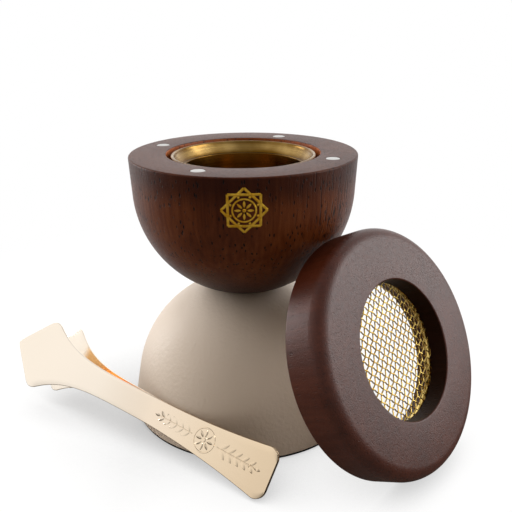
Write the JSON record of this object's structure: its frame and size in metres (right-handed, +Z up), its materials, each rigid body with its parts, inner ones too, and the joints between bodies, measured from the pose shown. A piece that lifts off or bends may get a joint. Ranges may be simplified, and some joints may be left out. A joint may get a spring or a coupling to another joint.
{
  "type": "mabkhara incense burner",
  "caption": "Hourglass wooden incense burner with a brass cup, a leaning ring lid with a wire net held by magnets, and sheet tongs.",
  "frame": {"origin": "middle of the base pad's underside, on the table", "axes": "+Z up along the burner's axis; -Y towards the picture's viewer, +X to the viewer's right"},
  "size_m": [0.2094, 0.1471, 0.1224],
  "materials": {
    "putty_paint": "matte putty lacquer with fine orange peel",
    "pad_rubber": "matte",
    "walnut_bowl": "satin dark stain over open grain",
    "walnut_lid": "satin dark stain",
    "heat_board": "matte",
    "spun_brass": "spun",
    "net_brass": "bright wire",
    "rose_gold": "polished light gold plate",
    "magnet_nickel": "nickel plate",
    "fastener_steel": "zinc plate"
  },
  "bodies": {
    "burner": {"base_pad": "pad_rubber", "base": "putty_paint", "joining_washer": "fastener_steel", "joining_bolt": "fastener_steel", "threaded_insert": "spun_brass", "bowl": "walnut_bowl", "heat_disc": "heat_board", "bowl_magnet_1": "magnet_nickel", "bowl_magnet_2": "magnet_nickel", "bowl_magnet_3": "magnet_nickel", "bowl_magnet_4": "magnet_nickel"},
    "cup": {"cup": "spun_brass"},
    "lid": {"lid_ring": "walnut_lid", "lid_net": "net_brass", "net_keeper": "net_brass", "lid_magnet_1": "magnet_nickel", "lid_magnet_2": "magnet_nickel", "lid_magnet_3": "magnet_nickel", "lid_magnet_4": "magnet_nickel"},
    "tongs": {"tongs_arm_rear": "rose_gold"},
    "tongs_front": {"tongs_arm_front": "rose_gold"}
  },
  "joints": [
    {"name": "cup_lift", "type": "slide", "parent": "burner", "child": "cup", "axis": [0, 0, 1], "range_m": [0, 0.06]},
    {"name": "lid_lift", "type": "slide", "parent": "burner", "child": "lid", "axis": [0.6486, -0.6177, 0.4446], "range_m": [0, 0.12]},
    {"name": "tongs_lift", "type": "slide", "parent": "burner", "child": "tongs", "axis": [-0.4203, -0.7076, 0.568], "range_m": [0, 0.1]},
    {"name": "tongs_squeeze", "type": "hinge", "parent": "tongs", "child": "tongs_front", "pos_m": [-0.04727, -0.03553, 0.01739], "axis": [-0.4125, -0.4086, -0.8142], "range_deg": [0, 15], "stiffness_Nm_per_rad": 1.5, "springref_deg": -1.72}
  ]
}
